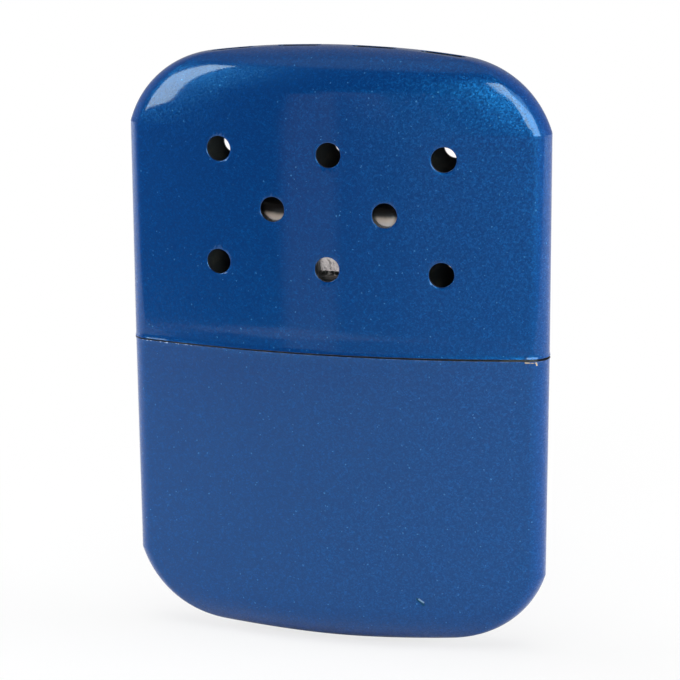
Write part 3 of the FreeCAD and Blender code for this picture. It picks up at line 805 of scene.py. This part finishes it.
def strands(paths, radius, sides=3):
    """Thin tubes along the paths, as points and faces."""
    points, faces = [], []
    for path in paths:
        base = len(points)
        for index, place in enumerate(path):
            ahead = path[min(index + 1, len(path) - 1)] - path[max(index - 1, 0)]
            side = ahead.orthogonal().normalized()
            other = ahead.normalized().cross(side)
            for corner in range(sides):
                turn = corner * 2 * math.pi / sides
                points.append(place + radius * (math.cos(turn) * side + math.sin(turn) * other))
        faces.extend(tuple(base + corner for corner in face) for face in skin_faces(len(path), sides))
    return points, faces


def stadium_ring(half_width, half_depth, height, steps=120):
    """An oval with straight sides and round ends, at one height."""
    straight = half_width - half_depth
    arc = half_depth * math.pi
    whole = 2 * arc + 4 * straight
    ring = []
    for step in range(steps):
        travel = whole * step / steps
        flip = -1 if travel >= whole / 2 else 1
        travel = travel % (whole / 2)
        if travel < 2 * straight:
            point = (travel - straight, -half_depth)
        else:
            turn = (travel - 2 * straight) / half_depth - math.pi / 2
            point = (straight + half_depth * math.cos(turn), half_depth * math.sin(turn))
        ring.append((flip * point[0], flip * point[1], height))
    return ring


# ---------------- the operators


class WarmerBuild:
    """What every step of the build shares."""

    bl_options = {"REGISTER", "UNDO"}

    @staticmethod
    def cup(context, upwards):
        """The form of the lid or of the tank."""
        tip = lid_high.z - SEAM if upwards else SEAM - tank_low.z
        return Cup(context.scene.warmer_shell, tip)


class WARMER_OT_studio(WarmerBuild, bpy.types.Operator):
    """Sets up the camera, the pale floor, the lamps and the white surroundings"""

    bl_idname = "warmer.studio"
    bl_label = "Studio"

    def execute(self, context):
        studio = context.scene.warmer_studio
        self.camera(context, studio)
        self.world(context)
        self.floor(studio)
        for softbox in SOFTBOXES:
            self.softbox(*softbox)
        context.scene.view_settings.view_transform = "Standard"
        return {"FINISHED"}

    @staticmethod
    def camera(context, studio):
        """The camera looks down at the target from the front right."""
        cos, sin = math.cos(studio.yaw), math.sin(studio.yaw)
        right, back = Vector((cos, sin, 0)), Vector((-sin, cos, 0))
        forward = back * math.cos(studio.pitch) - Vector((0, 0, math.sin(studio.pitch)))
        up = back * math.sin(studio.pitch) + Vector((0, 0, math.cos(studio.pitch)))
        across = right * math.cos(studio.roll) - up * math.sin(studio.roll)
        upright = right * math.sin(studio.roll) + up * math.cos(studio.roll)
        target = right * studio.target_side + Vector((0, 0, studio.target_height))
        data = bpy.data.cameras.new("camera")
        data.sensor_width = 36
        data.lens = studio.lens
        data.clip_start = 0.01
        camera = bpy.data.objects.new("camera", data)
        context.scene.collection.objects.link(camera)
        turned = Matrix((across, upright, -forward)).transposed()
        camera.matrix_world = Matrix.Translation(target - forward * studio.distance) @ turned.to_4x4()
        context.scene.camera = camera

    @staticmethod
    def world(context):
        """A grey tent with a dark front, in which pale patches stand out. White to the camera."""
        world = bpy.data.worlds.new("surroundings")
        context.scene.world = world
        sky = Finish(world)
        toward = sky.add("ShaderNodeTexCoord").outputs["Generated"]
        x, y, z = sky.add("ShaderNodeSeparateXYZ", {0: toward}).outputs
        degrees = 180 / math.pi
        ahead = sky.math("MULTIPLY", y, -1.0)
        turn = sky.math("MULTIPLY", sky.math("ARCTAN2", x, ahead), degrees)
        lift = sky.math("MULTIPLY", sky.math("ARCSINE", z), degrees)
        room = FRONT_SHADE
        for left, right, low, high, edge, brightness in FRONT_PATCHES:
            patch = sky.math("MULTIPLY", sky.band(turn, left, right, edge), sky.band(lift, low, high, edge))
            room = sky.math("MULTIPLY_ADD", patch, brightness, room)
        front = sky.band(turn, *DARK_FRONT)
        level = sky.math("MULTIPLY_ADD", front, sky.math("SUBTRACT", room, SIDE_SHADE), SIDE_SHADE)
        seen = sky.add("ShaderNodeLightPath").outputs
        plain = sky.math("MAXIMUM", seen["Is Camera Ray"], seen["Is Transmission Ray"])
        strength = sky.math("MAXIMUM", plain, level)
        ground = sky.add("ShaderNodeBackground", {"Color": rgb(WHITE), "Strength": strength})
        sky.add("ShaderNodeOutputWorld", {"Surface": ground.outputs[0]})

    @staticmethod
    def floor(studio):
        """A pale floor that keeps a soft shadow and can be looked through from below."""
        material, finish, place, _ = new_finish("floor")
        right = [(x, part * studio.floor_front) for x, part in FLOOR_FRONT] + list(FLOOR_BACK)
        corners = [(x, y, 0) for x, y in right] + [(-x, y, 0) for x, y in reversed(right)]
        floor = mesh_piece("floor", corners, [tuple(range(len(corners)))], [material])
        away = finish.vector("LENGTH", place)
        shaded = finish.step(away, *FLOOR_FADE, studio.floor_shade, 0.0)
        white = finish.add("ShaderNodeEmission", {"Color": rgb(WHITE), "Strength": 1.0}).outputs[0]
        matt = finish.add("ShaderNodeBsdfDiffuse", {"Color": rgb(FLOOR_PAINT)}).outputs[0]
        shown = finish.mix(shaded, white, matt)
        to_camera = finish.add("ShaderNodeLightPath").outputs["Is Camera Ray"]
        seen = finish.mix(to_camera, matt, shown)
        below = finish.add("ShaderNodeNewGeometry").outputs["Backfacing"]
        clear = finish.add("ShaderNodeBsdfTransparent").outputs[0]
        surface = finish.mix(finish.math("MULTIPLY", below, to_camera), seen, clear)
        finish.add("ShaderNodeOutputMaterial", {"Surface": surface})

    @staticmethod
    def softbox(name, azimuth, elevation, lean, width, height, brightness, glossy):
        """A soft lamp a metre from the seam, at these angles as the seam sees it."""
        data = bpy.data.lights.new(name, "AREA")
        data.shape = "RECTANGLE"
        data.color = GLOSSY_TINT if glossy else WHITE
        data.size = 2 * math.tan(math.radians(width / 2))
        data.size_y = 2 * math.tan(math.radians(height / 2))
        data.energy = brightness * math.pi * data.size * data.size_y
        lamp = bpy.data.objects.new(name, data)
        bpy.context.scene.collection.objects.link(lamp)
        turn, lift = math.radians(azimuth), math.radians(elevation)
        toward = Vector((math.sin(turn) * math.cos(lift), -math.cos(turn) * math.cos(lift), math.sin(lift)))
        leaned = Matrix.Rotation(math.radians(lean), 3, "Z").to_quaternion()
        facing = toward.to_track_quat("Z", "Y") @ leaned
        lamp.matrix_world = Matrix.Translation(toward + Vector((0, 0, SEAM))) @ facing.to_matrix().to_4x4()
        lamp.visible_camera = False
        lamp.visible_glossy = glossy
        lamp.visible_diffuse = not glossy


class WARMER_OT_shells(WarmerBuild, bpy.types.Operator):
    """Makes the lacquered tank and lid with their vents and slots"""

    bl_idname = "warmer.shells"
    bl_label = "Tank and lid"

    def execute(self, context):
        paint, vents = context.scene.warmer_paint, context.scene.warmer_vents
        materials = [blue_lacquer(paint), plated_steel("shaded_cut_edge"), plated_steel("shaded_inside")]
        for body, upwards in (("tank", False), ("lid", True)):
            cup = self.cup(context, upwards)
            piece = make_cup(f"{body}_lacquered_shell", cup, upwards, materials)
            if upwards:
                cut_holes(piece, *lid_cutters(cup, vents))
            settle_shading(piece)
            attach(piece, body)
            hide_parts(f"{body}_shell")
        return {"FINISHED"}


class WARMER_OT_plated(WarmerBuild, bpy.types.Operator):
    """Finishes the collar, the neck and the burner's metal"""

    bl_idname = "warmer.plated"
    bl_label = "Collar, neck and burner"

    def execute(self, context):
        dress_node("collar_deck", plated_steel("collar_plate"))
        dress_node("filler_neck", plated_steel("neck_plate"))
        dress_node("mat_retainer", plated_steel("retainer_plate"))
        heated = heated_plate()
        dress_node("burner_sleeve", heated)
        dress_node("burner_grille", heated)
        return {"FINISHED"}


class WARMER_OT_mat(WarmerBuild, bpy.types.Operator):
    """Makes the fibre wool of the catalyst mat"""

    bl_idname = "warmer.mat"
    bl_label = "Catalyst mat"

    def execute(self, context):
        rings = self.block()
        points = lumpy(rings, seed=3.0, depth=0.35 * MM, lump=1.6 * MM)
        faces = skin_faces(len(rings), len(rings[0]))
        hairs, hair_faces = strands(self.hair_paths(points), HAIR_RADIUS)
        faces += [tuple(len(points) + corner for corner in face) for face in hair_faces]
        piece = mesh_piece("catalyst_wool", points + hairs, faces, [fibre_finish("catalyst_wool")])
        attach(piece, "burner")
        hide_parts("catalyst_mat")
        return {"FINISHED"}

    @staticmethod
    def block():
        """Rings of the plain block that the wool fills, rounded at both ends."""
        half = (mat_high - mat_low) / 2 - Vector((1, 1, 1)) * MAT_INSET
        middle = (mat_high + mat_low) / 2
        rings = []
        for turn in np.linspace(-math.pi / 2, math.pi / 2, MAT_RINGS):
            shrink = MAT_EDGE * (1 - math.cos(turn)) if abs(turn) < math.pi / 2 else 0.9 * MAT_EDGE
            rise = (half.z - MAT_EDGE) * (2 * turn / math.pi) + MAT_EDGE * math.sin(turn)
            rings.append(stadium_ring(half.x - shrink, half.y - shrink, middle.z + rise))
        return rings

    def hair_paths(self, points):
        """Paths of the hairs, each of which starts on the block and lies along it."""
        chance = random.Random(HAIR_SEED)
        paths = []
        for _ in range(HAIR_COUNT):
            start = points[chance.randrange(len(points))]
            outward = Vector((start.x * 0.2, start.y, 0)).normalized()
            along = Vector([chance.uniform(-1, 1) for _ in range(3)])
            along = (along - along.dot(outward) * outward).normalized()
            reach = chance.uniform(*HAIR_REACH) * MM
            path = strand_points(start, along + outward * HAIR_RISE, reach, chance)
            paths.append([self.held(place) for place in path])
        return paths

    @staticmethod
    def held(place):
        """The place, kept inside the mat's own space."""
        half_x, half_y = mat_high.x - MAT_ROOM, mat_high.y - MAT_ROOM
        straight = half_x - half_y
        beyond = Vector((max(abs(place.x) - straight, 0), place.y))
        if beyond.length > half_y:
            beyond *= half_y / beyond.length
            side = math.copysign(min(abs(place.x), straight) + beyond.x, place.x)
            place = Vector((side, beyond.y, place.z))
        height = min(max(place.z, mat_low.z + MAT_ROOM), mat_high.z - MAT_ROOM)
        return Vector((place.x, place.y, height))


class WARMER_OT_cotton(WarmerBuild, bpy.types.Operator):
    """Makes the three layers of cotton that fill the tank"""

    bl_idname = "warmer.cotton"
    bl_label = "Cotton"

    def execute(self, context):
        fluff = fibre_finish("fuel_cotton")
        cup = self.cup(context, upwards=False)
        for seed, name in enumerate(("cotton_bottom", "cotton_middle", "cotton_top")):
            rings = self.layer(cup, *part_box(name))
            points = lumpy(rings, seed=float(seed), depth=0.5 * MM, lump=3.0 * MM)
            piece = mesh_piece(f"{name}_fluff", points, skin_faces(len(rings), len(rings[0])), [fluff])
            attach(piece, "tank")
            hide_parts(name)
        return {"FINISHED"}

    @staticmethod
    def layer(cup, low, high):
        """Rings of one layer between two heights, a little inside the tank and rounded at both ends."""
        inset = cup.sizes.wall + COTTON_ROOM
        middle, half = (low.z + high.z) / 2, (high.z - low.z) / 2
        rings = []
        for turn in np.linspace(-math.pi / 2, math.pi / 2, COTTON_RINGS):
            height = middle + half * math.sin(turn) * COTTON_FILL
            rise = min(max(SEAM - height, 0), cup.reach - inset - COTTON_TIP_ROOM)
            rounding = COTTON_EDGE * (1 - math.cos(turn)) ** 3 + (COLLAR_ROOM if height > SEAM else 0)
            narrow = 1 - rounding / (cup.sizes.thickness / 2)
            outline = cup.outline(rise, inset, COTTON_FACE_STEPS, COTTON_SIDE_STEPS)
            rings.append([(px * narrow, py * narrow, height) for px, py in outline])
        return rings


class WARMER_PT_panel(bpy.types.Panel):
    """Lists the steps of the build and the sizes and colours that they use"""

    bl_idname = "WARMER_PT_panel"
    bl_label = "Hand Warmer"
    bl_space_type = "VIEW_3D"
    bl_region_type = "UI"
    bl_category = "Hand Warmer"

    def draw(self, context):
        for step in BUILD_STEPS:
            self.layout.operator(step.bl_idname)
        for key, group in SIZE_GROUPS.items():
            box = self.layout.box()
            values = getattr(context.scene, key)
            for name in group.__annotations__:
                box.prop(values, name)


SIZE_GROUPS = {
    "warmer_shell": WarmerShell,
    "warmer_vents": WarmerVents,
    "warmer_paint": WarmerPaint,
    "warmer_studio": WarmerStudio,
}
BUILD_STEPS = (WARMER_OT_studio, WARMER_OT_shells, WARMER_OT_plated, WARMER_OT_mat, WARMER_OT_cotton)
CLASSES = (*SIZE_GROUPS.values(), *BUILD_STEPS, WARMER_PT_panel)


def register():
    """Adds the classes and the scene's groups of sizes."""
    for item in CLASSES:
        bpy.utils.register_class(item)
    for key, group in SIZE_GROUPS.items():
        setattr(bpy.types.Scene, key, bpy.props.PointerProperty(type=group))


def unregister():
    """Takes them away again."""
    for key in SIZE_GROUPS:
        delattr(bpy.types.Scene, key)
    for item in reversed(CLASSES):
        bpy.utils.unregister_class(item)


def main():
    """Builds everything in order."""
    register()
    bpy.ops.warmer.studio()
    bpy.ops.warmer.shells()
    bpy.ops.warmer.plated()
    bpy.ops.warmer.mat()
    bpy.ops.warmer.cotton()


if __name__ == "__main__":
    main()
